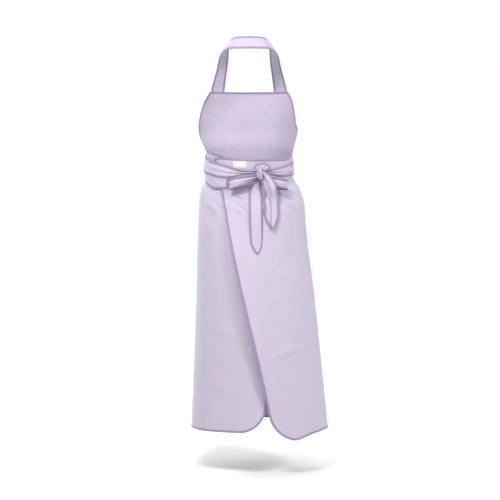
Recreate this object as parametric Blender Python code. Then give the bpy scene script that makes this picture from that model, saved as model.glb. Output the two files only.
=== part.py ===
"""Wrap-around protective apron, in the shape it takes when it is worn and tied.

Frame: metres, +Z up. The wearer faces -Y, so their back is +Y and their right hand is at -X. The origin is
the centre of the waist, at the height of the knot.

Cloth is described on a body surface with two coordinates. The angle psi is in degrees: 0 at the middle of
the back, 90 at the wearer's right, 180 at the front, -90 at the wearer's left. The level is the height
above the tie line, which runs lower at the back than at the front.
"""

import math

import bpy
import numpy as np
from mathutils import Vector

MM = 0.001

# Cloth, tape and ties
CLOTH = 1.0 * MM
TAPE = 1.8 * MM
TAPE_WIDTH = 6.0 * MM
TIE_CLOTH = 1.4 * MM
TIE_TAPE = 2.0 * MM
TIE_WIDTH = 48.0 * MM
SEWN_GAP = 0.8 * MM

# The worn body surface: level, half width, centre x, back depth, front depth, squareness of the section
BODY_SECTIONS = (
    (-0.870, 0.226, -0.034, 0.171, 0.165, 2.0),
    (-0.420, 0.194, -0.020, 0.151, 0.132, 2.0),
    (-0.200, 0.178, -0.009, 0.139, 0.118, 2.0),
    (-0.100, 0.171, -0.007, 0.129, 0.111, 2.0),
    (-0.050, 0.157, -0.002, 0.112, 0.105, 2.0),
    (-0.022, 0.140, 0.000, 0.100, 0.102, 2.0),
    (0.055, 0.139, 0.001, 0.098, 0.105, 2.0),
    (0.140, 0.160, 0.006, 0.098, 0.118, 2.2),
    (0.280, 0.165, 0.000, 0.100, 0.124, 2.5),
)
TIE_LINE_DIP = 0.036
DIP_REACH = 0.120
GROOVE_TOP = 0.055
GROOVE_FOOT = -0.022
WAIST_LEVELS = (GROOVE_TOP, GROOVE_FOOT, -0.036, -0.055, -0.080)
SKIRT_LEVELS = (-0.20, -0.36, -0.54, -0.70)

# The two wrap panels and the front
SEAM_PSI = 100.0
SLOT_PSI = 93.0
SEAM_GAP_PSI = 0.15
MITRE_PSI = 3.0
TOP_SLACK = 2.5 * MM
OUTER_LIFT = 5.0 * MM
OUTER_EDGE_X, OUTER_EDGE_SLOPE = 0.1026, 0.211
INNER_EDGE_X, INNER_EDGE_SLOPE = -0.1148, -0.0788
CORNER_RADIUS = 0.080
FRONT_HEM = -0.842
INNER_HEM = ((-100, -0.842), (-60, -0.841), (0, -0.836), (60, -0.836))
OUTER_HEM = ((-30, -0.864), (28, -0.864), (51, -0.849), (75, -0.842), (100, -0.842))
INNER_TOP = (
    (-100, 0.172),
    (-92, 0.146),
    (-84, 0.106),
    (-75, 0.074),
    (-48, 0.059),
    (-22, 0.045),
    (0, 0.041),
    (70, 0.039),
)
OUTER_TOP = (
    (-70, 0.047),
    (-33, 0.0455),
    (0, 0.041),
    (50, 0.042),
    (68, 0.053),
    (77, 0.073),
    (84, 0.100),
    (92, 0.140),
    (100, 0.166),
)

# The loose corner of the outer panel folds open along a line from its free edge to its hem
FLAP_TOP = -0.115
FLAP_TOP_X = 0.058
FLAP_FOOT_X, FLAP_FOOT = -0.160, -0.864
FLAP_CUT = 0.5 * MM
FLAP_STAND_OFF = 12.0 * MM
FLAP_STAND_OFF_WIDTH = 0.040
FLAP_AXIS_LIFT = 0.034

# Bib and neck band
BIB_TOP = 0.270
BIB_CORNER_PSI = 131.6
ARMHOLE = ((100, 0.169), (110, 0.206), (120, 0.240), (BIB_CORNER_PSI, BIB_TOP))
BIB_FOLD_FRONT = 0.102
BIB_FOLD_RISE = 0.667
BIB_HINGE = Vector((0.0, -0.126, 0.108))
NECK_UPPER_EDGE = (
    (0.00, 0.000, 0.0780, 0.4360),
    (0.18, 0.040, 0.0690, 0.4350),
    (0.36, 0.063, 0.0340, 0.4250),
    (0.55, 0.067, -0.0150, 0.4050),
    (0.72, 0.070, -0.0560, 0.3700),
    (0.88, 0.078, -0.0960, 0.3180),
    (1.00, 0.084, -0.1180, 0.2745),
)
NECK_LOWER_EDGE = (
    (0.00, 0.000, 0.0920, 0.3970),
    (0.18, 0.050, 0.0830, 0.3970),
    (0.36, 0.083, 0.0400, 0.3930),
    (0.55, 0.097, -0.0160, 0.3780),
    (0.72, 0.106, -0.0620, 0.3460),
    (0.88, 0.118, -0.0980, 0.3060),
    (1.00, 0.127, -0.1130, 0.2745),
)
NECK_HINGE = Vector((0.0, -0.113, 0.2735))

# Ties: psi, height of the centre line, width, distance outside the body surface
INNER_TIE = (
    (54, 0.006, TIE_WIDTH, 2.5 * MM),
    (93, 0.012, TIE_WIDTH, 2.5 * MM),
    (112, 0.030, TIE_WIDTH, 2.9 * MM),
    (140, 0.056, TIE_WIDTH, 2.9 * MM),
    (170, 0.070, TIE_WIDTH, 2.9 * MM),
    (190, 0.070, TIE_WIDTH, 6.2 * MM),
    (225, 0.056, TIE_WIDTH, 6.2 * MM),
    (258, 0.036, 47 * MM, 6.2 * MM),
    (274, 0.027, 46 * MM, 9.4 * MM),
    (288, 0.020, 45 * MM, 11.4 * MM),
    (304, 0.013, 45 * MM, 11.4 * MM),
    (322, 0.004, 44 * MM, 11.4 * MM),
    (337, -0.001, 34 * MM, 11.4 * MM),
    (350, -0.004, 20 * MM, 11.4 * MM),
    (364, -0.005, 14 * MM, 11.4 * MM),
)
OUTER_TIE = (
    (27, -0.030, TIE_WIDTH, 8.5 * MM),
    (48, -0.029, TIE_WIDTH, 8.5 * MM),
    (65, -0.017, TIE_WIDTH, 8.2 * MM),
    (84, -0.004, TIE_WIDTH, 3.8 * MM),
    (112, 0.006, TIE_WIDTH, 3.4 * MM),
    (140, 0.014, TIE_WIDTH, 2.9 * MM),
    (170, 0.020, TIE_WIDTH, 2.9 * MM),
    (190, 0.020, TIE_WIDTH, 6.2 * MM),
    (225, 0.020, TIE_WIDTH, 6.2 * MM),
    (262, 0.015, 44 * MM, 7.0 * MM),
    (285, 0.011, 40 * MM, 8.4 * MM),
    (312, 0.002, 31 * MM, 8.4 * MM),
    (326, -0.001, 22 * MM, 10.0 * MM),
    (338, -0.003, 14 * MM, 11.0 * MM),
)
TIE_STEP = 7.5

# Knot, bow loops and tails
KNOT = Vector((-0.030, 0.1195, -0.010))
KNOT_SIZE = Vector((0.038, 0.023, 0.048))
KNOT_ROUND = 0.007
LOOP_CLOTH = 1.2 * MM
LEFT_LOOP = (
    (-0.0005, 0.1290),
    (0.018, 0.1400),
    (0.044, 0.1420),
    (0.0630, 0.1310),
    (0.057, 0.1220),
    (0.030, 0.1205),
    (-0.0005, 0.1215),
)
LEFT_LOOP_UPPER, LEFT_LOOP_LOWER = (-0.009, -0.020), (-0.039, -0.057)
RIGHT_LOOP = (
    (-0.0605, 0.1290),
    (-0.080, 0.1360),
    (-0.104, 0.1290),
    (-0.1240, 0.1120),
    (-0.114, 0.1030),
    (-0.090, 0.1090),
    (-0.0605, 0.1205),
)
RIGHT_LOOP_UPPER, RIGHT_LOOP_LOWER = (-0.011, -0.022), (-0.034, -0.055)
LOOP_STEPS = 22
TAIL_CLOTH = 1.2 * MM
TAIL_TAPE = 1.8 * MM
LONG_TAIL = (
    (-0.0365, -0.019, 0.034, 13 * MM),
    (-0.080, -0.021, 0.041, 12 * MM),
    (-0.150, -0.023, 0.044, 11 * MM),
    (-0.225, -0.026, 0.042, 11 * MM),
    (-0.264, -0.027, 0.020, 11 * MM),
)
SHORT_TAIL = (
    (-0.0475, -0.060, 0.030, 17 * MM),
    (-0.085, -0.067, 0.042, 13 * MM),
    (-0.130, -0.070, 0.046, 11 * MM),
    (-0.165, -0.072, 0.042, 11 * MM),
    (-0.185, -0.073, 0.022, 11 * MM),
)
LONG_TAIL_PIVOT = Vector((-0.020, 0.1190, -0.030))
SHORT_TAIL_PIVOT = Vector((-0.060, 0.1170, -0.014))

# Woven label on the outer panel, under its top tape
LABEL_CENTRE_X, LABEL_CENTRE_Z = 0.028, 0.0240
LABEL_WIDTH, LABEL_HEIGHT, LABEL_CLOTH = 0.041, 0.021, 0.6 * MM

COLOURS = {
    "cloth": (0.64, 0.57, 0.73, 1.0),
    "tape": (0.38, 0.30, 0.52, 1.0),
    "label": (0.86, 0.85, 0.84, 1.0),
}


def through(points, at):
    """A smooth curve through rows of (parameter, values...), read at some parameters. It never overshoots."""
    points = np.asarray(points, float)
    knots, values = points[:, 0], points[:, 1:]
    secants = np.diff(values, axis=0) / np.diff(knots)[:, None]
    before, after = secants[:-1], secants[1:]
    same_way = before * after > 0
    total = np.where(same_way, before + after, 1.0)
    inner = np.where(same_way, 2 * before * after / total, 0.0)
    slopes = np.concatenate([secants[:1], inner, secants[-1:]])
    at = np.clip(np.asarray(at, float), knots[0], knots[-1])
    left = np.clip(np.searchsorted(knots, at, side="right") - 1, 0, len(knots) - 2)
    span = (knots[left + 1] - knots[left])[..., None]
    t = (at - knots[left])[..., None] / span
    rise = values[left + 1] - values[left]
    curve = values[left] + t * t * (3 - 2 * t) * rise
    curve += span * t * (1 - t) * ((1 - t) * slopes[left] - t * slopes[left + 1])
    return curve


def height(psi, level):
    """World height of a level, at this angle round the body."""
    fade = np.exp(-((np.asarray(level) / DIP_REACH) ** 2))
    return level - TIE_LINE_DIP * np.cos(np.radians(psi)) * fade


def level_at(psi, z):
    """The level that lies at world height z, at this angle."""
    level = np.asarray(z, float)
    for _ in range(12):
        level = level + 0.7 * (z - height(psi, level))
    return level


def surface(psi, level, lift=0.0):
    """World points on the body surface, moved outwards by lift."""
    psi, level, lift = np.broadcast_arrays(np.asarray(psi, float), level, lift)
    half_width, centre_x, back, front, squareness = np.moveaxis(through(BODY_SECTIONS, level), -1, 0)
    sine, cosine = np.sin(np.radians(psi)), np.cos(np.radians(psi))
    power = 2.0 / squareness
    depth = np.where(cosine > 0, back, front)
    x = centre_x - (half_width + lift) * np.sign(sine) * np.abs(sine) ** power
    y = (depth + lift) * np.sign(cosine) * np.abs(cosine) ** power
    return np.stack([x, y, height(psi, level)], axis=-1)


def psi_at(x, level):
    """The angle at which the back of the body surface has this x."""
    half_width, centre_x = np.moveaxis(through(BODY_SECTIONS, level), -1, 0)[:2]
    return np.degrees(np.arcsin(np.clip((centre_x - x) / half_width, -1, 1)))


def inset(psi, level, distance):
    """The curve moved along the cloth by distance, to the right of its direction as seen from outside."""
    along = np.gradient(surface(psi, level), axis=0)
    along /= np.linalg.norm(along, axis=1, keepdims=True)
    per_degree = (surface(psi + 0.1, level) - surface(psi - 0.1, level)) / 0.2
    per_metre = (surface(psi, level + 0.001) - surface(psi, level - 0.001)) / 0.002
    outwards = np.cross(per_degree, per_metre)
    outwards /= np.linalg.norm(outwards, axis=1, keepdims=True)
    move = np.cross(along, outwards) * distance
    frame = np.stack([per_degree, per_metre], axis=-1)
    step = np.array([np.linalg.lstsq(f, m, rcond=None)[0] for f, m in zip(frame, move)])
    return psi + step[:, 0], level + step[:, 1]


def flap_stand_off(psi, level):
    """How far the outer panel's free edge bows away from the panel under it."""
    from_edge = outer_edge_x(level) - surface(psi, level)[..., 0]
    down = np.clip((level - FLAP_TOP) / (FLAP_FOOT - FLAP_TOP), 0, 1)
    return FLAP_STAND_OFF * np.sin(np.pi * down**0.8) * np.exp(-((from_edge / FLAP_STAND_OFF_WIDTH) ** 2))


def outer_lift(psi, level):
    """Distance of the outer panel from the body surface: it comes down to it at the side seam."""
    joined = np.clip((SEAM_PSI - np.asarray(psi)) / (SEAM_PSI - SLOT_PSI), 0, 1)
    return OUTER_LIFT * joined + flap_stand_off(psi, level)


def no_lift(psi, level):
    return np.zeros(np.broadcast(psi, level).shape)


def edge_x(level, x_at_waist, slope):
    """x of a straight free edge, whose slope is per metre of world height at the back."""
    return x_at_waist + slope * height(0.0, level)


def outer_edge_x(level):
    return edge_x(level, OUTER_EDGE_X, OUTER_EDGE_SLOPE)


def inner_edge_x(level):
    return edge_x(level, INNER_EDGE_X, INNER_EDGE_SLOPE)


def fold_x(level):
    """x of the line that the outer panel's loose corner folds on."""
    down = (level - FLAP_TOP) / (FLAP_FOOT - FLAP_TOP)
    return FLAP_TOP_X + (FLAP_FOOT_X - FLAP_TOP_X) * down


def rounded(distance, radius):
    """How far a rounded corner rises above the hem, at this distance from the free edge."""
    return radius - np.sqrt(np.maximum(radius**2 - np.maximum(radius - distance, 0) ** 2, 0))


def settle(rule, start):
    """The value that a rule gives back unchanged."""
    value = start
    for _ in range(20):
        value = 0.5 * (value + rule(value))
    return value


# ---------------------------------------------------------------- objects


def material(name):
    """The Principled material of this colour name, made once."""
    found = bpy.data.materials.get(name)
    if found:
        return found
    made = bpy.data.materials.new(name)
    made.use_nodes = True
    shader = made.node_tree.nodes["Principled BSDF"]
    shader.inputs["Base Color"].default_value = COLOURS[name.split("_on_")[0]]
    shader.inputs["Roughness"].default_value = 0.75
    shader.inputs["Metallic"].default_value = 0.0
    return made


def add_object(name, mesh, colour, joint):
    """An object with its own material, carried by its joint's empty."""
    mesh.materials.append(material(f"{colour}_on_{name}"))
    mesh.shade_smooth()
    made = bpy.data.objects.new(name, mesh)
    bpy.context.scene.collection.objects.link(made)
    made.parent = joint
    made.matrix_parent_inverse = joint.matrix_world.inverted()
    return made


def sheet(name, points, thickness, colour, joint, left_out=()):
    """Closed cloth: a grid of points, thickened equally to both sides. left_out names cells to skip."""
    rows, cols = points.shape[:2]
    cells = [(r, c) for r in range(rows - 1) for c in range(cols - 1) if (r, c) not in left_out]
    faces = [(r * cols + c, r * cols + c + 1, (r + 1) * cols + c + 1, (r + 1) * cols + c) for r, c in cells]
    mesh = bpy.data.meshes.new(name)
    mesh.from_pydata(points.reshape(-1, 3).tolist(), [], faces)
    made = add_object(name, mesh, colour, joint)
    solid = made.modifiers.new("thickness", "SOLIDIFY")
    solid.thickness = thickness
    solid.offset = 0.0
    return made


def joint_empty(name, place):
    made = bpy.data.objects.new(name, None)
    made.empty_display_size = 0.03
    made.location = place
    bpy.context.scene.collection.objects.link(made)
    bpy.context.view_layer.update()
    return made


# ---------------------------------------------------------------- skirt


def panel_levels(top, foot):
    """Levels down one column of a skirt panel: close together at the waist, where the cloth bends."""
    groove = min(GROOVE_TOP, top - TAPE_WIDTH)
    above = [top, 0.5 * (top + groove), groove, *WAIST_LEVELS[1:], FLAP_TOP + FLAP_CUT]
    below = [FLAP_TOP - FLAP_CUT, *SKIRT_LEVELS]
    return above, below + [0.5 * (below[-1] + foot), foot]


def columns(shares, near_psi, far_psi, top_rule, foot_rule):
    """(psi, level) for each column, between two side lines and from the top rule to the foot rule."""
    grid = []
    for share in shares:

        def psi_of(level, share=share):
            return near_psi(level) + (far_psi(level) - near_psi(level)) * share

        top = settle(lambda level: top_rule(psi_of(level)), 0.05)
        foot = settle(lambda level: foot_rule(psi_of(level), level), -0.80)
        above, below = panel_levels(top, foot)
        grid.append([(psi_of(level), level) for level in above + below])
    return np.array(grid, float).transpose(2, 1, 0)


def top_rule_of(table, margin):
    """The level of a top edge drawn as world heights, moved down by the width of its tape."""
    psi = np.linspace(table[0][0], table[-1][0], 90)
    level = level_at(psi, through(table, psi)[:, 0])
    psi_in, level_in = inset(psi, level, margin)
    return lambda at: np.interp(at, psi_in, level_in)


def hem_at(table, psi):
    return through(table, psi)[..., 0]


def free_hem_rule(hem, edge, margin):
    """The level of a hem that turns up into a free edge through a rounded corner."""

    def rule(psi, level):
        distance = np.abs(edge(level) - surface(psi, level)[..., 0]) - margin
        return hem_at(hem, psi) + margin + rounded(distance, CORNER_RADIUS - margin)

    return rule


def free_edge_outline(hem, edge, side, from_level, to_psi):
    """(psi, level) down a free edge, round its corner and along the hem.

    side is +1 where x grows from the edge into the panel.
    """
    corner_foot = settle(lambda level: hem_at(hem, psi_at(edge(level), level)) + CORNER_RADIUS, -0.78)
    between = [v for v in (*WAIST_LEVELS, FLAP_TOP, *SKIRT_LEVELS) if corner_foot < v < from_level]
    level = np.array([from_level, *between, corner_foot])
    psi = psi_at(edge(level), level)
    for turn in np.radians(np.arange(10, 91, 10)):
        across = CORNER_RADIUS * (1 - math.cos(turn))
        rise = CORNER_RADIUS * (1 - math.sin(turn))
        at = settle(lambda v: hem_at(hem, psi_at(edge(v) + side * across, v)) + rise, -0.82)
        level, psi = np.append(level, at), np.append(psi, psi_at(edge(at) + side * across, at))
    along = np.linspace(psi[-1], to_psi, max(3, int(abs(to_psi - psi[-1]) / 8) + 1))[1:]
    return np.append(psi, along), np.append(level, hem_at(hem, along))


def tape(name, psi, level, width, lift, joint, thickness=TAPE):
    """Bias tape along a curve on the cloth. A positive width lies to the right of the curve's direction."""
    psi_in, level_in = inset(psi, level, width)
    edge = surface(psi, level, lift(psi, level))
    inner = surface(psi_in, level_in, lift(psi_in, level_in))
    points = np.stack([edge, inner])
    return sheet(name, points, thickness, "tape", joint)


def make_front(skirt):
    """Front of the skirt, from side seam to side seam, up to the line where the bib folds."""
    psi = np.linspace(SEAM_PSI + SEAM_GAP_PSI, 360 - SEAM_PSI - SEAM_GAP_PSI, 22)
    foot = FRONT_HEM + TAPE_WIDTH + SEWN_GAP
    levels = np.array([sum(panel_levels(bib_fold_level(p) - SEWN_GAP / 2, foot), []) for p in psi]).T
    points = surface(np.broadcast_to(psi, levels.shape), levels)
    sheet("skirt_front_panel", points, CLOTH, "cloth", skirt)
    tape("front_hem_binding", psi, np.full(len(psi), FRONT_HEM), -TAPE_WIDTH, no_lift, skirt)


def make_inner_wrap(skirt):
    """The wearer's left panel, which wraps across the back underneath."""
    margin = TAPE_WIDTH + SEWN_GAP
    psi, level = columns(
        [*np.linspace(0, 0.82, 15) ** 1.3, 0.83, 0.87, 0.91, 0.94, 0.97, 1.0],
        lambda v: psi_at(inner_edge_x(v) + margin, v),
        lambda v: -SEAM_PSI + SEAM_GAP_PSI,
        top_rule_of(INNER_TOP, margin + TOP_SLACK),
        free_hem_rule(INNER_HEM, inner_edge_x, margin),
    )
    sheet("inner_wrap_panel", surface(psi, level), CLOTH, "cloth", skirt)
    corner = settle(lambda v: level_at(60, through(INNER_TOP, psi_at(inner_edge_x(v), v))[0]), 0.05)
    outline = free_edge_outline(INNER_HEM, inner_edge_x, 1, corner, -SEAM_PSI + SEAM_GAP_PSI)
    tape("inner_wrap_binding", *outline, TAPE_WIDTH, no_lift, skirt)
    last = psi_at(inner_edge_x(corner) + margin, corner)
    along = np.linspace(-SEAM_PSI + MITRE_PSI, last, 40)
    top = level_at(along, through(INNER_TOP, along)[:, 0])
    tape("inner_top_binding", along, top, TAPE_WIDTH, no_lift, skirt)


def make_outer_wrap(skirt, flap):
    """The wearer's right panel, which wraps over the back, and its loose corner."""
    margin = TAPE_WIDTH + SEWN_GAP
    cut = 2 * FLAP_CUT

    def near(level):
        fixed = outer_edge_x(level) - margin if level > FLAP_TOP else fold_x(level) - cut
        return psi_at(fixed, level)

    stations = np.array([*np.linspace(-58, 60, 13), *np.linspace(64, SLOT_PSI, 8), SEAM_PSI])
    shares = (stations - stations[0]) / np.ptp(stations)
    psi, level = columns(
        shares,
        near,
        lambda v: SEAM_PSI - SEAM_GAP_PSI,
        top_rule_of(OUTER_TOP, margin + TOP_SLACK),
        lambda p, v: hem_at(OUTER_HEM, p) + margin,
    )
    slot_row = 2
    slot = [(slot_row, len(shares) - 2)]
    sheet("outer_wrap_panel", surface(psi, level, outer_lift(psi, level)), CLOTH, "cloth", skirt, slot)

    psi, level = columns(
        np.linspace(0, 1, 9) ** 1.6,
        lambda v: psi_at(outer_edge_x(v) - margin, v),
        lambda v: psi_at(fold_x(v) + cut, v),
        lambda p: FLAP_TOP,
        free_hem_rule(OUTER_HEM, outer_edge_x, margin),
    )
    below = level[:, 0] <= FLAP_TOP
    psi, level = psi[below], level[below]
    sheet("outer_flap_panel", surface(psi, level, outer_lift(psi, level)), CLOTH, "cloth", flap)

    hem_fold = settle(lambda v: hem_at(OUTER_HEM, psi_at(fold_x(v), v)), -0.86)
    flap_end = psi_at(fold_x(hem_fold) + cut, hem_fold)
    outline = free_edge_outline(OUTER_HEM, outer_edge_x, -1, FLAP_TOP - FLAP_CUT, flap_end)
    tape("outer_flap_binding", *outline, -TAPE_WIDTH, outer_lift, flap)
    along = np.linspace(psi_at(fold_x(hem_fold) - cut, hem_fold), SEAM_PSI - SEAM_GAP_PSI, 10)
    tape("outer_hem_binding", along, hem_at(OUTER_HEM, along), -TAPE_WIDTH, outer_lift, skirt)

    corner = settle(lambda v: level_at(-58, through(OUTER_TOP, psi_at(outer_edge_x(v), v))[0]), 0.06)
    edge = np.array([corner, *WAIST_LEVELS, FLAP_TOP + FLAP_CUT])
    tape("outer_edge_binding", psi_at(outer_edge_x(edge), edge), edge, -TAPE_WIDTH, outer_lift, skirt)
    along = np.linspace(psi_at(outer_edge_x(corner) - margin, corner), SEAM_PSI - MITRE_PSI, 40)
    top = level_at(along, through(OUTER_TOP, along)[:, 0])
    tape("outer_top_binding", along, top, TAPE_WIDTH, outer_lift, skirt)


# ---------------------------------------------------------------- bib and neck band


def bib_fold_level(psi):
    """The level of the line where the bib folds forward: it rises round the sides."""
    level = BIB_FOLD_FRONT + TIE_LINE_DIP
    for _ in range(12):
        point = surface(psi, level)
        wanted = BIB_FOLD_FRONT + BIB_FOLD_RISE * (point[1] - BIB_HINGE.y)
        level += 0.5 * (wanted - point[2])
    return float(level)


def armhole_level(psi):
    """Level of the bib's side edge, the same on both sides."""
    aside = np.minimum(psi, 360 - psi)
    return level_at(aside, through(ARMHOLE, aside)[..., 0])


def make_bib(bib):
    margin = TAPE_WIDTH + SEWN_GAP
    side = np.linspace(SEAM_PSI + SEAM_GAP_PSI, BIB_CORNER_PSI, 9)
    rising = inset(side, armhole_level(side), margin)
    top = BIB_TOP - margin
    sides = np.linspace(SEAM_PSI + 2.5, BIB_CORNER_PSI - 1.5, 7)
    middle = np.linspace(BIB_CORNER_PSI + 1, 360 - BIB_CORNER_PSI - 1, 12)
    psi = np.concatenate([sides, middle, 360 - sides[::-1]])
    aside = np.minimum(psi, 360 - psi)
    upper = np.minimum(np.interp(aside, *rising), level_at(psi, top))
    lower = np.array([bib_fold_level(p) for p in psi]) + SEWN_GAP / 2
    rise = np.linspace(0, 1, 6)[:, None]
    level = upper + (lower - upper) * rise
    sheet("bib_panel", surface(np.broadcast_to(psi, level.shape), level), CLOTH, "cloth", bib)
    across = np.linspace(BIB_CORNER_PSI + 3.4, 360 - BIB_CORNER_PSI - 3.4, 13)
    tape("bib_top_binding", across, level_at(across, BIB_TOP), TAPE_WIDTH, no_lift, bib)
    tape("armhole_binding_right", side, armhole_level(side), TAPE_WIDTH, no_lift, bib)
    other = 360 - side[::-1]
    tape("armhole_binding_left", other, armhole_level(other), TAPE_WIDTH, no_lift, bib)


def make_neck_band(neck):
    """A wide strap round the back of the neck. Its middle cell is flat, where it rests on the nape."""
    half = np.linspace(0.02, 1, 17)
    along = np.concatenate([-half[::-1], half])
    mirror = np.sign(along)[:, None] * [1, 0, 0] + [0, 1, 1]
    upper = through(NECK_UPPER_EDGE, np.abs(along)) * mirror
    lower = through(NECK_LOWER_EDGE, np.abs(along)) * mirror
    width = np.linalg.norm(lower - upper, axis=1, keepdims=True)
    tape_share = TAPE_WIDTH / width
    cloth_share = (TAPE_WIDTH + SEWN_GAP) / width

    def between(share):
        return upper + (lower - upper) * share

    sheet("neck_band", np.stack([between(cloth_share), between(1 - cloth_share)]), TIE_CLOTH, "cloth", neck)
    sheet("neck_band_upper_binding", np.stack([upper, between(tape_share)]), TIE_TAPE, "tape", neck)
    sheet("neck_band_lower_binding", np.stack([between(1 - tape_share), lower]), TIE_TAPE, "tape", neck)


# ---------------------------------------------------------------- ties, knot, bow


def make_tie(name, table, turn, skirt):
    """A bound tie round the waist. turn is +1 where it runs from the back to the wearer's right."""
    table = np.asarray(table, float)
    count = int((table[-1, 0] - table[0, 0]) / TIE_STEP) + 1
    at = np.linspace(table[0, 0], table[-1, 0], count)
    z, width, lift = through(table, at).T
    psi = turn * at
    tape_width = np.minimum(TAPE_WIDTH, 0.25 * width)

    def row(from_top):
        level = level_at(psi, z + width / 2 - from_top)
        return surface(psi, level, lift)

    gap = SEWN_GAP * tape_width / TAPE_WIDTH
    cloth = [tape_width + gap, width / 2, width - tape_width - gap]
    sheet(name, np.stack([row(v) for v in cloth]), TIE_CLOTH, "cloth", skirt)
    sheet(f"{name}_upper_binding", np.stack([row(0 * width), row(tape_width)]), TIE_TAPE, "tape", skirt)
    sheet(f"{name}_lower_binding", np.stack([row(width - tape_width), row(width)]), TIE_TAPE, "tape", skirt)


def make_tie_end(skirt):
    """Tape over the squared end of the outer tie, where it is sewn to the panel's corner."""
    start, z, width, lift = OUTER_TIE[0]
    psi = -start + np.array([0.5, 0.5 + math.degrees(TAPE_WIDTH / 0.14)])
    points = [surface(psi, level_at(psi, z + width * share), lift) for share in (0.5, 0.0, -0.5)]
    sheet("outer_tie_end_binding", np.stack(points), TIE_TAPE, "tape", skirt)


def make_knot(skirt):
    """The wrapped lump in the middle of the bow."""
    mesh = bpy.data.meshes.new("bow_knot")
    corners = [Vector((x, y, z)) for x in (-0.5, 0.5) for y in (-0.5, 0.5) for z in (-0.5, 0.5)]
    points = [KNOT + Vector(c * s for c, s in zip(corner, KNOT_SIZE)) for corner in corners]
    faces = [(0, 1, 3, 2), (4, 6, 7, 5), (0, 4, 5, 1), (2, 3, 7, 6), (0, 2, 6, 4), (1, 5, 7, 3)]
    mesh.from_pydata(points, [], faces)
    made = add_object("bow_knot", mesh, "cloth", skirt)
    bevel = made.modifiers.new("soft_edges", "BEVEL")
    bevel.width = KNOT_ROUND
    bevel.segments = 3


def make_loop(name, plan, upper, lower, joint):
    """A bow loop: a band that runs out from the knot, turns at its end and comes back behind."""
    knots = np.linspace(0, 1, len(plan))
    at = np.linspace(0, 1, LOOP_STEPS)
    xy = through(np.column_stack([knots, plan]), at)
    reach = np.abs(xy[:, 0] - plan[0][0])
    share = reach / reach.max()
    top = upper[0] + (upper[1] - upper[0]) * share
    foot = lower[0] + (lower[1] - lower[0]) * share

    def row(z):
        return np.column_stack([xy, z])

    edge, gap = 5 * MM, SEWN_GAP
    sheet(name, np.stack([row(top - edge - gap), row(foot + edge + gap)]), LOOP_CLOTH, "cloth", joint)
    sheet(f"{name}_upper_binding", np.stack([row(top), row(top - edge)]), TAIL_TAPE, "tape", joint)
    sheet(f"{name}_lower_binding", np.stack([row(foot + edge), row(foot)]), TAIL_TAPE, "tape", joint)


def tail_points(x, z, lift):
    """Points of a tail that hangs just outside the skirt."""
    level = level_at(0.0, z)
    return surface(psi_at(x, level), level, lift)


def make_tail(name, table, joint):
    """A hanging tie end with a pointed, bound tip."""
    table = np.asarray(table, float)[::-1]
    along = np.linspace(0, 1, 13) ** 0.8
    z = table[0, 0] + (table[-1, 0] - table[0, 0]) * along
    x, width, lift = through(table, z).T
    edge = np.minimum(5 * MM, 0.3 * width)
    gap = SEWN_GAP
    rim = 5 * MM

    def column(share_x, lower_by=0.0):
        return tail_points(x + share_x, z - lower_by, lift)

    half = width / 2
    cloth = np.stack([column(half - edge - gap), column(0 * half), column(edge + gap - half)])
    sheet(name, cloth, TAIL_CLOTH, "cloth", joint)
    outer = np.concatenate([column(half)[::-1], column(half, rim)[:1], column(-half, rim)[:1], column(-half)])
    inner_half = half - edge
    inner = np.concatenate([
        column(inner_half)[::-1],
        column(inner_half, gap)[:1],
        column(-inner_half, gap)[:1],
        column(-inner_half),
    ])
    sheet(f"{name}_binding", np.stack([outer, inner]), TAIL_TAPE, "tape", joint)


def make_label(skirt):
    """A plain woven label, sewn flat on the outer panel."""
    x = LABEL_CENTRE_X + LABEL_WIDTH * np.linspace(0.5, -0.5, 7)
    rows = []
    for z in LABEL_CENTRE_Z + LABEL_HEIGHT * np.linspace(0.5, -0.5, 3):
        psi = psi_at(x, 0.0)
        rows.append(surface(psi, level_at(psi, z), OUTER_LIFT + 1.6 * MM))
    sheet("woven_label", np.stack(rows), LABEL_CLOTH, "label", skirt)


def main():
    for old in list(bpy.data.objects):
        bpy.data.objects.remove(old, do_unlink=True)
    skirt = joint_empty("skirt_frame", Vector((0, 0, 0)))
    fold_top = surface(psi_at(fold_x(FLAP_TOP), FLAP_TOP), FLAP_TOP, FLAP_AXIS_LIFT)
    flap = joint_empty("outer_flap_axis", Vector(fold_top))
    bib = joint_empty("bib_axis", BIB_HINGE)
    neck = joint_empty("neck_band_axis", NECK_HINGE)
    loop_left = joint_empty("bow_loop_left_axis", Vector((LEFT_LOOP[0][0], KNOT.y, KNOT.z)))
    loop_right = joint_empty("bow_loop_right_axis", Vector((RIGHT_LOOP[0][0], KNOT.y, KNOT.z)))
    tail_long = joint_empty("tail_long_axis", LONG_TAIL_PIVOT)
    tail_short = joint_empty("tail_short_axis", SHORT_TAIL_PIVOT)

    make_front(skirt)
    make_inner_wrap(skirt)
    make_outer_wrap(skirt, flap)
    make_bib(bib)
    make_neck_band(neck)
    make_tie("inner_tie", INNER_TIE, 1, skirt)
    make_tie("outer_tie", OUTER_TIE, -1, skirt)
    make_tie_end(skirt)
    make_knot(skirt)
    make_loop("bow_loop_left", LEFT_LOOP, LEFT_LOOP_UPPER, LEFT_LOOP_LOWER, loop_left)
    make_loop("bow_loop_right", RIGHT_LOOP, RIGHT_LOOP_UPPER, RIGHT_LOOP_LOWER, loop_right)
    make_tail("tail_long", LONG_TAIL, tail_long)
    make_tail("tail_short", SHORT_TAIL, tail_short)
    make_label(skirt)


main()
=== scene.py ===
"""Looks of the wrap-around protective apron: bound cloth, a sash tied in a bow, and the light round them.

Frame: metres, +Z up. The wearer's back is +Y and their right hand is at -X. Cloth lies on a body surface with
two coordinates. The angle psi is in degrees: 0 at the middle of the back, 90 at the wearer's right, 180 at
the front, -90 at the wearer's left. The level is the height above the tie line, which is lower at the back.
"""

import math

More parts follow.
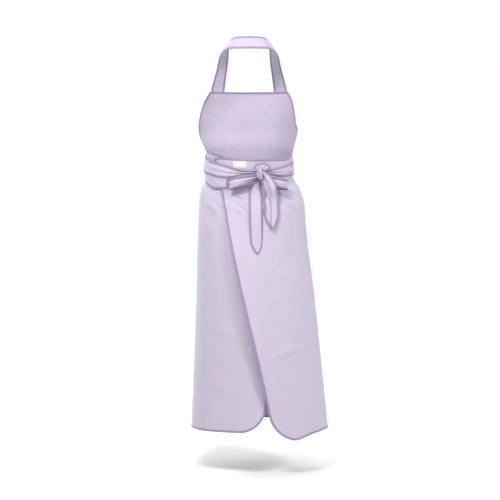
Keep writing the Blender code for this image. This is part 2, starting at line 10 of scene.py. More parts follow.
import bpy
import numpy as np
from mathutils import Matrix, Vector


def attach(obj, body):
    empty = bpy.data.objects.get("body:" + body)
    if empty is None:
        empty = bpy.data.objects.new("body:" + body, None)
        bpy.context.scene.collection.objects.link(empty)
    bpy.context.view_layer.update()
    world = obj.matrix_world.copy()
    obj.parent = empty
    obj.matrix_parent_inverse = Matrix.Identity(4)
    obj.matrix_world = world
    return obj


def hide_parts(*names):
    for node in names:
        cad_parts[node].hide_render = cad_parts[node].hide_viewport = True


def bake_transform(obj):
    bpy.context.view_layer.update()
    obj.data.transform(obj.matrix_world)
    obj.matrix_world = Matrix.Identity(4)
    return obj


MM = 0.001

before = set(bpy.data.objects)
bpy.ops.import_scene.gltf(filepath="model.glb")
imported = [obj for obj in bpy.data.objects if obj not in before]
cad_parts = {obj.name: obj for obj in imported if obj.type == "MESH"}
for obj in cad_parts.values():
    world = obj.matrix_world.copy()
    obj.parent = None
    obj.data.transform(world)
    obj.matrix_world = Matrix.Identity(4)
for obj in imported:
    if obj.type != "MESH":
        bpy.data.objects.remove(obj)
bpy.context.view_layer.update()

# ---------------- sizes that part.py has too

# Level, half width, x of the middle, depth behind and in front of it, squareness
BODY_SECTIONS = (
    (-0.87, 0.226, -0.034, 0.171, 0.165, 2.0),
    (-0.42, 0.194, -0.02, 0.151, 0.132, 2.0),
    (-0.2, 0.178, -0.009, 0.139, 0.118, 2.0),
    (-0.1, 0.171, -0.007, 0.129, 0.111, 2.0),
    (-0.05, 0.157, -0.002, 0.112, 0.105, 2.0),
    (-0.022, 0.14, 0.0, 0.1, 0.102, 2.0),
    (0.055, 0.139, 0.001, 0.098, 0.105, 2.0),
    (0.14, 0.16, 0.006, 0.098, 0.118, 2.2),
    (0.28, 0.165, 0.0, 0.1, 0.124, 2.5),
)
TIE_LINE_DIP = 0.036
DIP_REACH = 0.12

TAPE_WIDTH = 7.0 * MM
TIE_WIDTH = 48 * MM
CLOTH = 0.9 * MM
RIBBON_CLOTH = 0.9 * MM

SEAM_PSI = 100.0
SLOT_PSI = 93.0
OUTER_LIFT = 5.0 * MM
OUTER_EDGE_X, OUTER_EDGE_SLOPE = 0.1026, 0.211
INNER_EDGE_X, INNER_EDGE_SLOPE = -0.1148, -0.0788
CORNER_RADIUS = 0.08
# Levels of the hems, and heights of the top edges, by psi
FRONT_HEM = -0.842
INNER_HEM = ((-100, -0.842), (-60, -0.841), (0, -0.836), (60, -0.836))
OUTER_HEM = ((-30, -0.864), (28, -0.864), (51, -0.849), (75, -0.842), (100, -0.842))
INNER_TOP = (
    (-100, 0.172),
    (-92, 0.146),
    (-84, 0.106),
    (-75, 0.074),
    (-48, 0.059),
    (-22, 0.045),
    (0, 0.041),
    (70, 0.039),
)
OUTER_TOP = (
    (-70, 0.047),
    (-33, 0.0455),
    (0, 0.041),
    (50, 0.042),
    (68, 0.053),
    (77, 0.073),
    (84, 0.1),
    (92, 0.14),
    (100, 0.166),
)
FLAP_TOP = -0.115
FLAP_TOP_X = 0.058
FLAP_FOOT_X, FLAP_FOOT = -0.16, -0.864
FLAP_AXIS_LIFT = 0.034

BIB_TOP = 0.27
BIB_CORNER_PSI = 131.6
ARMHOLE = ((100, 0.169), (110, 0.206), (120, 0.24), (BIB_CORNER_PSI, BIB_TOP))
BIB_HINGE = Vector((0.0, -0.126, 0.108))
BIB_FOLD_RISE = 0.667
# Share of the way from the nape to the bib, then x, y and z on the wearer's left
NECK_UPPER_EDGE = (
    (0.0, 0.0, 0.078, 0.436),
    (0.18, 0.04, 0.069, 0.435),
    (0.36, 0.063, 0.034, 0.425),
    (0.55, 0.067, -0.015, 0.405),
    (0.72, 0.07, -0.056, 0.37),
    (0.86, 0.078, -0.096, 0.318),
    (0.95, 0.084, -0.1172, 0.2745),
    (1.0, 0.086, -0.1172, 0.252),
)
NECK_LOWER_EDGE = (
    (0.0, 0.0, 0.092, 0.397),
    (0.18, 0.05, 0.083, 0.397),
    (0.36, 0.083, 0.04, 0.393),
    (0.55, 0.097, -0.016, 0.378),
    (0.72, 0.106, -0.062, 0.346),
    (0.86, 0.118, -0.091, 0.306),
    (0.95, 0.126, -0.0975, 0.2745),
    (1.0, 0.127, -0.0975, 0.252),
)


def tie_table(*rows):
    return [(psi, z, width * MM, lift * MM) for psi, z, width, lift in rows]


# Ties: psi, height of the centre line, then width and distance outside the body surface in millimetres
INNER_TIE = tie_table(
    (54, 0.006, 48, 2.5),
    (93, 0.012, 48, 2.5),
    (112, 0.03, 48, 2.9),
    (140, 0.056, 48, 2.9),
    (170, 0.07, 48, 2.9),
    (190, 0.07, 48, 6.2),
    (225, 0.056, 48, 6.2),
    (258, 0.036, 47, 6.2),
    (274, 0.027, 46, 9.4),
    (288, 0.02, 45, 11.4),
    (304, 0.013, 45, 11.4),
    (322, 0.004, 44, 11.4),
    (337, -0.001, 34, 11.4),
    (350, -0.004, 20, 11.4),
    (364, -0.005, 14, 12.4),
    (372, -0.006, 11, 15.0),
)
OUTER_TIE = tie_table(
    (27, -0.03, 48, 8.5),
    (48, -0.029, 48, 8.5),
    (65, -0.017, 48, 8.2),
    (84, -0.004, 48, 3.8),
    (112, 0.006, 48, 3.4),
    (140, 0.014, 48, 2.9),
    (170, 0.02, 48, 2.9),
    (190, 0.02, 48, 6.2),
    (225, 0.02, 48, 6.2),
    (262, 0.015, 44, 7.0),
    (285, 0.011, 40, 8.4),
    (312, 0.002, 31, 8.4),
    (326, -0.001, 22, 10.0),
    (338, -0.003, 14, 11.0),
    (349, -0.005, 11, 14.0),
)

KNOT_CENTRE = np.array([-0.0355, 0.123, -0.0080])
KNOT_HALF = (0.011, 0.01, 0.016)
# Outer edge of the fold above the knot: share of its length, then x, y and z
KNOT_ARCH = (
    (0.0, -0.015, 0.118, 0.006),
    (0.2, -0.019, 0.1205, 0.017),
    (0.38, -0.029, 0.1225, 0.0255),
    (0.55, -0.044, 0.123, 0.0275),
    (0.75, -0.059, 0.1205, 0.024),
    (0.9, -0.067, 0.118, 0.016),
    (1.0, -0.069, 0.116, 0.008),
)
# Edges of the tie's hanging ends, as z and x from the top down. Right and left are the wearer's
LONG_TAIL_RIGHT = (
    (-0.02, -0.029),
    (-0.043, -0.0335),
    (-0.076, -0.0405),
    (-0.15, -0.0425),
    (-0.266, -0.045),
)
LONG_TAIL_LEFT = (
    (-0.02, -0.013),
    (-0.043, -0.0075),
    (-0.076, -0.001),
    (-0.15, -0.002),
    (-0.266, -0.0065),
)
SHORT_TAIL_RIGHT = (
    (0.004, -0.046),
    (-0.006, -0.059),
    (-0.02, -0.074),
    (-0.046, -0.087),
    (-0.076, -0.0925),
    (-0.127, -0.095),
    (-0.19, -0.093),
)
SHORT_TAIL_LEFT = (
    (0.004, -0.034),
    (-0.02, -0.038),
    (-0.046, -0.044),
    (-0.076, -0.051),
    (-0.092, -0.047),
    (-0.11, -0.0515),
    (-0.137, -0.049),
    (-0.19, -0.054),
)
# z, then y of the short end's front strip and of its back strip where they leave the knot
SHORT_TAIL_PLACES = (
    (-0.19, 0.143, 0.136),
    (-0.09, 0.143, 0.13),
    (-0.05, 0.144, 0.126),
    (-0.024, 0.14, 0.124),
    (0.004, 0.127, 0.122),
)

# Heights of the top and the tip, how far across the tip is, how much the end's arch rises, and where it bends
LONG_TAIL = {
    "right": LONG_TAIL_RIGHT,
    "left": LONG_TAIL_LEFT,
    "top": -0.024,
    "tip": -0.264,
    "tip_at": 0.45,
    "arch": 0.04,
    "bends": (-0.034, -0.09),
}
SHORT_TAIL = {
    "right": SHORT_TAIL_RIGHT,
    "left": SHORT_TAIL_LEFT,
    "top": 0.001,
    "tip": -0.186,
    "tip_at": 0.44,
    "arch": 0.052,
    "bends": (-0.026, -0.086),
}

# Bow loops as plan points, with the heights of their upper and lower edges at the knot and at the far end
LEFT_LOOP = (
    (-0.028, 0.12),
    (-0.006, 0.132),
    (0.018, 0.14),
    (0.044, 0.142),
    (0.063, 0.131),
    (0.057, 0.1215),
    (0.03, 0.1185),
    (-0.028, 0.117),
)
LEFT_LOOP_UPPER = ((0.0, -0.007), (0.55, -0.0125), (1.0, -0.021))
LEFT_LOOP_LOWER = ((0.0, -0.019), (0.25, -0.031), (0.7, -0.047), (1.0, -0.053))
RIGHT_LOOP = (
    (-0.05, 0.127),
    (-0.08, 0.135),
    (-0.104, 0.129),
    (-0.124, 0.113),
    (-0.114, 0.103),
    (-0.09, 0.109),
    (-0.05, 0.1195),
)
RIGHT_LOOP_UPPER = ((0.0, -0.008), (0.5, -0.016), (1.0, -0.025))
RIGHT_LOOP_LOWER = ((0.0, -0.022), (0.35, -0.038), (0.7, -0.05), (1.0, -0.054))
# Centre x and z, then width and height, of the woven label
LABEL_CENTRE_X, LABEL_CENTRE_Z = 0.028, 0.024
LABEL_WIDTH, LABEL_HEIGHT = 0.041, 0.021

# ---------------- the body surface


def through(points, at):
    """A smooth curve through rows of (parameter, values...), read at some parameters. It never overshoots."""
    points = np.asarray(points, float)
    knots, values = points[:, 0], points[:, 1:]
    secants = np.diff(values, axis=0) / np.diff(knots)[:, None]
    before, after = secants[:-1], secants[1:]
    same_way = before * after > 0
    total = np.where(same_way, before + after, 1.0)
    inner = np.where(same_way, 2 * before * after / total, 0.0)
    slopes = np.concatenate([secants[:1], inner, secants[-1:]])
    at = np.clip(np.asarray(at, float), knots[0], knots[-1])
    left = np.clip(np.searchsorted(knots, at, side="right") - 1, 0, len(knots) - 2)
    span = (knots[left + 1] - knots[left])[..., None]
    t = (at - knots[left])[..., None] / span
    rise = values[left + 1] - values[left]
    curve = values[left] + t * t * (3 - 2 * t) * rise
    curve += span * t * (1 - t) * ((1 - t) * slopes[left] - t * slopes[left + 1])
    return curve


def height(psi, level):
    """World height of a level, at this angle round the body."""
    fade = np.exp(-((np.asarray(level) / DIP_REACH) ** 2))
    return level - TIE_LINE_DIP * np.cos(np.radians(psi)) * fade


def level_at(psi, z):
    """The level that lies at world height z, at this angle."""
    level = np.asarray(z, float)
    for _ in range(12):
        level = level + 0.7 * (z - height(psi, level))
    return level


def surface(psi, level, lift=0.0):
    """World points on the body surface, moved outwards by lift."""
    psi, level, lift = np.broadcast_arrays(np.asarray(psi, float), level, lift)
    half_width, centre_x, back, front, squareness = np.moveaxis(through(BODY_SECTIONS, level), -1, 0)
    sine, cosine = np.sin(np.radians(psi)), np.cos(np.radians(psi))
    power = 2.0 / squareness
    depth = np.where(cosine > 0, back, front)
    x = centre_x - (half_width + lift) * np.sign(sine) * np.abs(sine) ** power
    y = (depth + lift) * np.sign(cosine) * np.abs(cosine) ** power
    return np.stack([x, y, height(psi, level)], axis=-1)


def psi_at(x, level):
    """The angle at which the back of the body surface has this x."""
    half_width, centre_x = np.moveaxis(through(BODY_SECTIONS, level), -1, 0)[:2]
    return np.degrees(np.arcsin(np.clip((centre_x - x) / half_width, -1, 1)))


def inset(psi, level, distance):
    """The curve moved along the cloth by distance, to the right of its direction as seen from outside."""
    along = unit(np.gradient(surface(psi, level), axis=0))
    per_degree = (surface(psi + 0.1, level) - surface(psi - 0.1, level)) / 0.2
    per_metre = (surface(psi, level + 0.001) - surface(psi, level - 0.001)) / 0.002
    outwards = unit(np.cross(per_degree, per_metre))
    move = np.cross(along, outwards) * distance
    frames = np.stack([per_degree, per_metre], axis=-1)
    step = np.array([np.linalg.lstsq(f, m, rcond=None)[0] for f, m in zip(frames, move)])
    return psi + step[:, 0], level + step[:, 1]


def unit(vectors):
    return vectors / np.maximum(np.linalg.norm(vectors, axis=-1, keepdims=True), 1e-12)


def ease(low, high, value):
    """0 below low, 1 above high and smooth between them."""
    t = np.clip((np.asarray(value, float) - low) / (high - low), 0, 1)
    return t * t * (3 - 2 * t)


def settle(rule, start, rounds=24):
    """The value that a rule gives back unchanged."""
    value = start
    for _ in range(rounds):
        value = 0.5 * (value + rule(value))
    return value


# ---------------- folds in the cloth

# Creases across the wearer's back: from x, z to x, z, then half width and rise in millimetres
BACK_CREASES = (
    (0.064, -0.06, -0.002, -0.096, 5.5, 5.0),
    (0.07, -0.08, 0.002, -0.114, 6.0, 4.2),
    (0.044, -0.096, -0.006, -0.128, 6.0, 3.6),
    (0.06, -0.07, 0.006, -0.104, 4.0, -3.4),
    (0.046, -0.108, 0.012, -0.15, 7.0, 2.6),
    (0.142, -0.094, 0.092, -0.154, 9.0, 3.4),
    (0.126, -0.074, 0.072, -0.12, 8.0, 2.8),
    (0.138, -0.108, 0.1, -0.146, 6.0, -2.0),
    (0.152, -0.13, 0.126, -0.215, 10.0, 3.2),
    (-0.09, -0.07, -0.164, -0.06, 6.0, 5.4),
    (-0.092, -0.086, -0.16, -0.126, 6.5, 6.0),
    (-0.092, -0.078, -0.15, -0.094, 4.5, -4.0),
    (-0.094, -0.108, -0.138, -0.156, 7.5, 3.6),
    (-0.082, -0.184, -0.112, -0.17, 5.0, 2.6),
    (-0.118, -0.046, -0.156, -0.032, 6.0, 3.0),
    (-0.056, -0.608, -0.184, -0.564, 10.0, 3.4),
    (-0.036, -0.688, -0.1, -0.672, 7.0, 2.4),
    (-0.006, -0.48, -0.07, -0.47, 8.0, 1.6),
    (-0.024, -0.43, -0.15, -0.4, 13.0, 2.0),
    (-0.04, -0.326, -0.17, -0.354, 14.0, 1.5),
    (0.15, -0.5, 0.01, -0.54, 15.0, 2.0),
    (0.17, -0.69, 0.01, -0.722, 17.0, 1.8),
    (0.165, -0.39, 0.05, -0.362, 16.0, 1.6),
)
# Creases on the front, in the same way
FRONT_CREASES = (
    (-0.14, -0.03, -0.07, -0.105, 9.0, 3.0),
    (-0.15, -0.075, -0.09, -0.15, 11.0, 2.6),
    (-0.052, -0.048, -0.02, -0.13, 8.0, 2.0),
    (0.138, -0.026, 0.074, -0.092, 9.0, 3.0),
    (0.15, -0.08, 0.096, -0.16, 11.0, 2.6),
    (0.046, -0.05, 0.012, -0.142, 8.0, 2.0),
    (-0.104, 0.262, -0.036, 0.176, 9.0, 2.2),
    (0.104, 0.262, 0.04, 0.17, 9.0, 2.2),
    (-0.13, 0.196, -0.07, 0.13, 9.0, 2.0),
    (0.128, 0.2, 0.074, 0.134, 9.0, 2.0),
    (-0.12, -0.3, -0.02, -0.33, 13.0, 2.4),
    (0.11, -0.48, 0.01, -0.455, 13.0, 2.4),
    (-0.13, -0.64, -0.03, -0.66, 13.0, 2.4),
)


def creases(table, x, z):
    """Soft ridges and grooves, each tapering off at both its ends."""
    total = np.zeros(np.shape(x))
    for x_from, z_from, x_to, z_to, width, rise in table:
        run_x, run_z = x_to - x_from, z_to - z_from
        length = math.hypot(run_x, run_z)
        along = ((x - x_from) * run_x + (z - z_from) * run_z) / length**2
        across = ((x - x_from) * run_z - (z - z_from) * run_x) / length
        bent = across - 0.06 * length * np.sin(np.pi * along)
        taper = np.sin(np.pi * np.clip(along, 0, 1)) ** 1.2
        total += rise * MM * taper * np.exp(-((bent / (width * MM)) ** 2))
    return total


def gathers(psi, level, seed):
    """Small upright folds where the sash pulls the cloth in. They die out up and down from it."""
    below = ease(-0.150, -0.052, level) * ease(-0.016, -0.044, level)
    above = ease(0.036, 0.060, level) * ease(0.120, 0.066, level)
    wave = np.sin(np.radians(psi) * 19 + seed) + 0.7 * np.sin(np.radians(psi) * 31 + 2.1 * seed)
    broken = 0.5 + 0.5 * np.sin(np.radians(psi) * 5.3 + 1.7 * seed)
    return 0.9 * MM * wave * broken * (below + 0.8 * above)


def flutes(psi, level, seed):
    """Broad folds that open out towards the hem."""
    down = ease(-0.12, -0.86, level)
    slow = np.sin(np.radians(psi) * 4.0 + seed) + 0.6 * np.sin(np.radians(psi) * 7.0 + 1.9 * seed)
    return 2.2 * MM * down * slow


def rumple(psi, level, seed):
    """Faint unevenness of cloth that has been folded and worn."""
    a = np.radians(psi)
    first = np.sin(a * 11 + 37 * level + seed) * np.sin(29 * level - 3.1 * a + seed)
    second = np.sin(a * 23 - 61 * level + 2 * seed) * np.sin(47 * level + 5 * a)
    free = ease(-0.03, -0.08, level) + ease(0.06, 0.10, level)
    return free * (0.55 * MM * first + 0.25 * MM * second)


def back_shape(psi, level, seed):
    """Everything that moves back cloth in or out, apart from its layer."""
    x, _, z = np.moveaxis(surface(psi, level), -1, 0)
    behind = ease(0.0, 0.3, np.cos(np.radians(psi)))
    under_sash = ease(-0.036, -0.052, level) + ease(0.058, 0.070, level)
    shape = creases(BACK_CREASES, x, z) * behind * under_sash
    return shape + gathers(psi, level, seed) + flutes(psi, level, seed) + rumple(psi, level, seed)


def front_shape(psi, level):
    x, _, z = np.moveaxis(surface(psi, level), -1, 0)
    ahead = ease(0.0, 0.3, -np.cos(np.radians(psi)))
    free = ease(-0.030, -0.050, level) + ease(0.090, 0.115, level)
    shape = creases(FRONT_CREASES, x, z) * ahead * free
    wave = np.sin(np.radians(psi) * 6 + 0.8) + 0.45 * np.sin(np.radians(psi) * 13 + 2.0)
    folds = 9.5 * MM * ease(-0.06, -0.82, level) * wave
    near_seam = ease(SEAM_PSI, SEAM_PSI + 14, psi) * ease(360 - SEAM_PSI, 346 - SEAM_PSI, psi)
    shape = (shape + folds + gathers(psi, level, 0.4)) * near_seam
    return shape + rumple(psi, level, 0.4)


def edge_x(level, x_at_waist, slope):
    """x of a straight free edge, whose slope is per metre of world height at the back."""
    return x_at_waist + slope * height(0.0, level)


def outer_edge_x(level):
    return edge_x(level, OUTER_EDGE_X, OUTER_EDGE_SLOPE)


def inner_edge_x(level):
    return edge_x(level, INNER_EDGE_X, INNER_EDGE_SLOPE)


def inner_lift(psi, level):
    """The inner panel sinks a little where the outer one stands off it."""
    at_seam = ease(-SEAM_PSI, 14 - SEAM_PSI, psi)
    down = np.clip((level - FLAP_TOP) / (FLAP_FOOT - FLAP_TOP), 0, 1)
    from_edge = surface(psi, level)[..., 0] - outer_edge_x(level)
    sunk = 9 * MM * np.sin(np.pi * down) * np.exp(-(((from_edge + 0.005) / 0.038) ** 2))
    return at_seam * (back_shape(psi, level, 1.3) - sunk)


def outer_lift(psi, level):
    """The outer panel lies one layer out. Its free edge bows away from the panel under it and ripples."""
    joined = np.clip((SEAM_PSI - np.asarray(psi)) / (SEAM_PSI - SLOT_PSI), 0, 1)
    from_edge = outer_edge_x(level) - surface(psi, level)[..., 0]
    down = np.clip((level - FLAP_TOP) / (FLAP_FOOT - FLAP_TOP), 0, 1)
    bow = 26 * MM * np.sin(np.pi * down**0.95) * np.exp(-((from_edge / 0.048) ** 2))
    at_edge = np.exp(-((from_edge / 0.022) ** 2)) * ease(-0.06, -0.14, level)
    ripple = 0.7 * MM * at_edge * (np.sin(level * 43) + 0.7 * np.sin(level * 97 + 1.0) * np.sin(level * 11))
    at_seam = ease(SEAM_PSI, SEAM_PSI - 10, psi)
    hip = 2.5 * MM * ease(30, 60, psi) * ease(-0.05, -0.09, level)
    return OUTER_LIFT * joined + bow + ripple + at_seam * (back_shape(psi, level, 2.6) - hip)


# ---------------- meshes


def grid_normals(points):
    down, across = np.gradient(points, axis=(0, 1))
    return unit(np.cross(across, down))


def new_object(name, vertices, faces, uv, material, sharp=55):
    """A mesh object with its texture coordinates in metres."""
    mesh = bpy.data.meshes.new(name)
    mesh.from_pydata(np.asarray(vertices).tolist(), [], [tuple(f) for f in faces])
    layer = mesh.uv_layers.new(name="cloth")
    corners = np.empty(len(mesh.loops), np.int32)
    mesh.loops.foreach_get("vertex_index", corners)
    layer.data.foreach_set("uv", np.asarray(uv, np.float32)[corners].ravel())
    mesh.materials.append(material)
    mesh.shade_smooth()
    mesh.set_sharp_from_angle(angle=math.radians(sharp))
    made = bpy.data.objects.new(name, mesh)
    bpy.context.scene.collection.objects.link(made)
    return made


def run_of(line):
    """Distance along a line of points, from its start."""
    return np.concatenate([[0.0], np.cumsum(np.linalg.norm(np.diff(line, axis=0), axis=1))])


def lengths_of(points, axis):
    """Mean distance along one axis of a grid, from its start."""
    steps = np.linalg.norm(np.diff(points, axis=axis), axis=-1).mean(axis=1 - axis)
    return np.concatenate([[0.0], np.cumsum(steps)])


def grid_faces(rows, cols, left_out=()):
    r, c = np.meshgrid(np.arange(rows - 1), np.arange(cols - 1), indexing="ij")
    keep = np.ones(r.shape, bool)
    for row, col in left_out:
        keep[row, col] = False
    first = (r * cols + c)[keep]
    return np.column_stack([first, first + 1, first + cols + 1, first + cols])


def cloth_sheet(name, points, thickness, material, left_out=()):
    """Closed cloth from a grid of points in its middle, with both its sides and its rim."""
    rows, cols = points.shape[:2]
    out = grid_normals(points) * thickness / 2
    flat = points.reshape(-1, 3)
    offset = out.reshape(-1, 3)
    count = len(flat)
    faces = grid_faces(rows, cols, left_out)
    edges = np.concatenate([faces[:, [k, (k + 1) % 4]] for k in range(4)])
    ahead, behind = edges[:, 0] * count + edges[:, 1], edges[:, 1] * count + edges[:, 0]
    rim = edges[~np.isin(ahead, behind)]
    sides = np.column_stack([rim[:, 1], rim[:, 0], rim[:, 0] + count, rim[:, 1] + count])
    every = np.concatenate([faces, faces[:, ::-1] + count, sides])
    u, v = np.meshgrid(lengths_of(points, 1), lengths_of(points, 0))
    uv = np.tile(np.column_stack([u.ravel(), v.ravel()]), (2, 1))
    return new_object(name, np.concatenate([flat + offset, flat - offset]), every, uv, material)


# Section of a bias tape folded over an edge: share of its width from the fold, share of its half thickness
TAPE_SECTION = (
    (0.0, 0.0),
    (0.05, 0.55),
    (0.14, 0.88),
    (0.30, 1.0),
    (0.58, 1.0),
    (0.72, 0.95),
    (0.79, 0.76),
    (0.86, 0.94),
    (0.96, 0.84),
    (1.0, 0.62),
)


def tape_over(name, place, width=TAPE_WIDTH, half=1.15 * MM, overhang=1.2 * MM, seed=0.0):
    """Bias tape over a cloth edge. place gives the line of cloth at some distance in from the edge."""
    shares, heights = np.array(TAPE_SECTION).T
    base = np.stack([place(share * width - overhang) for share in shares])
    inward, along = np.gradient(base, axis=(0, 1))
    normal = unit(np.cross(inward, along))
    distance = run_of(base[3])
    pucker = 1 + 0.10 * np.sin(distance * 880 + seed) + 0.07 * np.sin(distance * 410 + 2 * seed)
    up = normal * (heights[:, None] * half * pucker)[..., None]
    section = np.concatenate([base + up, (base - up)[:0:-1]]).transpose(1, 0, 2)
    count, ring = section.shape[:2]
    first = np.arange(count - 1)[:, None] * ring
    here, there = np.arange(ring)[None], (np.arange(ring)[None] + 1) % ring
    quads = np.stack([first + here, first + there, first + ring + there, first + ring + here], axis=-1)
    caps = [tuple(range(ring))[::-1], tuple(range((count - 1) * ring, count * ring))]
    faces = [tuple(q) for q in quads.reshape(-1, 4)] + caps
    outwards = np.cross(section[1:, 3] - section[:-1, 3], section[:-1, 4] - section[:-1, 3])
    if (outwards * up[3, :-1]).sum() > 0:
        faces = [f[::-1] for f in faces]
    v = np.concatenate([shares, shares[:0:-1]]) * width
    uv = np.column_stack([np.repeat(distance, ring), np.tile(v, count)])
    return new_object(name, section.reshape(-1, 3), faces, uv, tape_material, sharp=70)


def grid_edge(points, last=False):
    """The place rule of a tape over the first row of a grid of points, or over its last row."""
    rows = points[::-1] if last else points
    steps = np.linalg.norm(np.diff(rows, axis=0), axis=-1)
    distance = np.concatenate([np.zeros((1, rows.shape[1])), np.cumsum(steps, axis=0)])
    outside = unit(rows[0] - rows[2])

    def place(inside):
        if inside < 0:
            return rows[0] - outside * inside
        lines = zip(distance.T, rows.transpose(1, 2, 0))
        return np.array([[np.interp(inside, along, values) for values in line] for along, line in lines])

    return place


def evenly(step, line):
    """A line at even distances, with its corners eased."""
    along = run_of(line)
    keep = np.concatenate([[True], np.diff(along) > 1e-7])
    table = np.column_stack([along, line])[keep]
    line = through(table, np.linspace(0, along[-1], max(8, int(along[-1] / step))))
    for _ in range(3):
        line[1:-1] = 0.25 * line[:-2] + 0.5 * line[1:-1] + 0.25 * line[2:]
    return line


def fine_curve(psi, level, step):
    """Points along a curve on the body surface, evenly spaced and close together."""
    along = run_of(surface(psi, level))
    at = np.linspace(0, along[-1], max(8, int(along[-1] / step)))
    both = through(np.column_stack([along, psi, level]), at)
    return both[:, 0], both[:, 1]


def tape_on(name, psi, level, side, lift, step=3.5 * MM, seed=0.0):
    """Bias tape along a curve on a panel. side is +1 where the cloth lies to the right of the curve."""
    psi, level = fine_curve(np.asarray(psi, float), np.asarray(level, float), step)

    def place(inside):
        psi_in, level_in = inset(psi, level, side * inside)
        return surface(psi_in, level_in, lift(psi_in, level_in))

    return tape_over(name, place, overhang=0.0, seed=seed)


# ---------------- materials


def node(tree, kind, **settings):
    made = tree.nodes.new(kind)
    for name, value in settings.items():
        setattr(made, name, value)
    return made


def math_node(tree, operation, first, second=0.0):
    made = node(tree, "ShaderNodeMath", operation=operation)
    for socket, value in zip(made.inputs, (first, second)):
        if isinstance(value, (int, float)):
            socket.default_value = value
        else:
            tree.links.new(value, socket)
    return made.outputs[0]


def noise(tree, vector, scale, detail):
    made = node(tree, "ShaderNodeTexNoise")
    made.inputs["Scale"].default_value = scale
    made.inputs["Detail"].default_value = detail
    tree.links.new(vector, made.inputs["Vector"])
    return made.outputs["Fac"]


def srgb(red, green, blue):
    """A screen colour, from 0 to 255, as linear RGBA."""
    share = np.array([red, green, blue]) / 255
    linear = np.where(share <= 0.04045, share / 12.92, ((share + 0.055) / 1.055) ** 2.4)
    return (*linear.tolist(), 1.0)


STITCH_LENGTH = 3.2 * MM


def woven(name, light, dark, roughness, thread=0.55 * MM, stitch_at=None, thread_colour=None):
    """Plain-woven cloth: thread relief, slubs, a slow change of shade and, on tape, a row of stitches."""
    made = bpy.data.materials.new(name)
    made.use_nodes = True
    tree = made.node_tree
    shader = tree.nodes["Principled BSDF"]
    shader.inputs["Roughness"].default_value = roughness
    shader.inputs["Specular IOR Level"].default_value = 0.30
    shader.inputs["Sheen Weight"].default_value = 0.22
    shader.inputs["Sheen Roughness"].default_value = 0.45
    place = node(tree, "ShaderNodeTexCoord")
    split = node(tree, "ShaderNodeSeparateXYZ")
    tree.links.new(place.outputs["UV"], split.inputs[0])
    u, v = split.outputs[0], split.outputs[1]
    warp = math_node(tree, "SINE", math_node(tree, "MULTIPLY", u, math.pi / thread))
    weft = math_node(tree, "SINE", math_node(tree, "MULTIPLY", v, math.pi / thread))
    weave = math_node(tree, "MULTIPLY", warp, weft)

    slow = noise(tree, place.outputs["Object"], 5.0, 3.0)
    stretch = node(tree, "ShaderNodeMapping")
    stretch.inputs["Scale"].default_value = (900, 60, 1)
    tree.links.new(place.outputs["UV"], stretch.inputs["Vector"])
    slub = noise(tree, stretch.outputs[0], 1.0, 2.0)

    shade = math_node(tree, "MULTIPLY", slub, 0.30)
    shade = math_node(tree, "ADD", shade, math_node(tree, "MULTIPLY", slow, 0.70))
    shade = math_node(tree, "ADD", shade, math_node(tree, "MULTIPLY", weave, 0.10))
    mix = node(tree, "ShaderNodeMix", data_type="RGBA")
    mix.inputs["A"].default_value = dark
    mix.inputs["B"].default_value = light
    tree.links.new(shade, mix.inputs["Factor"])
    colour = mix.outputs["Result"]
    relief_height = math_node(tree, "ADD", weave, math_node(tree, "MULTIPLY", slub, 0.8))

    if stitch_at is not None:
        phase = math_node(tree, "FRACT", math_node(tree, "DIVIDE", u, STITCH_LENGTH))
        dash = math_node(tree, "COMPARE", phase, 0.5)
        dash.node.inputs[2].default_value = 0.34
        off = math_node(tree, "ABSOLUTE", math_node(tree, "SUBTRACT", v, stitch_at))
        line = math_node(tree, "LESS_THAN", off, 0.40 * MM)
        stitch = math_node(tree, "MULTIPLY", dash, line)
        over = node(tree, "ShaderNodeMix", data_type="RGBA")
        over.inputs["B"].default_value = thread_colour
        tree.links.new(colour, over.inputs["A"])
        tree.links.new(stitch, over.inputs["Factor"])
        colour = over.outputs["Result"]
        relief_height = math_node(tree, "ADD", relief_height, math_node(tree, "MULTIPLY", stitch, 4.0))

    tree.links.new(colour, shader.inputs["Base Color"])
    bump = node(tree, "ShaderNodeBump")
    bump.inputs["Strength"].default_value = 0.6
    bump.inputs["Distance"].default_value = 0.05 * MM
    tree.links.new(relief_height, bump.inputs["Height"])
    tree.links.new(bump.outputs[0], shader.inputs["Normal"])
    return made


CLOTH_LIGHT, CLOTH_DARK = srgb(168, 160, 176), srgb(159, 150, 170)
TAPE_LIGHT, TAPE_DARK = srgb(137, 122, 151), srgb(121, 106, 137)
cloth_material = woven("coated_lilac_cloth", CLOTH_LIGHT, CLOTH_DARK, 0.62)
ribbon_material = woven("lilac_ribbon_cloth", CLOTH_LIGHT, CLOTH_DARK, 0.64)
tape_material = woven(
    "purple_bias_tape",
    TAPE_LIGHT,
    TAPE_DARK,
    0.58,
    thread=0.4 * MM,
    stitch_at=0.79 * TAPE_WIDTH,
    thread_colour=srgb(121, 105, 138),
)
label_material = woven("white_label_cloth", srgb(192, 191, 191), srgb(182, 181, 181), 0.5, thread=0.3 * MM)


# ---------------- panels


def rounded(distance, radius):
    """How far a rounded corner rises above the hem, at this distance from the free edge."""
    return radius - np.sqrt(np.maximum(radius**2 - np.maximum(radius - distance, 0) ** 2, 0))


def hem_at(table, psi):
    return through(table, psi)[..., 0]


def rows_between(top, foot, count):
    """Levels from top to foot, closer together near the waist."""
    t = np.linspace(0, 1, count)
    return top + (foot - top) * (0.55 * t + 0.45 * t**2.2)


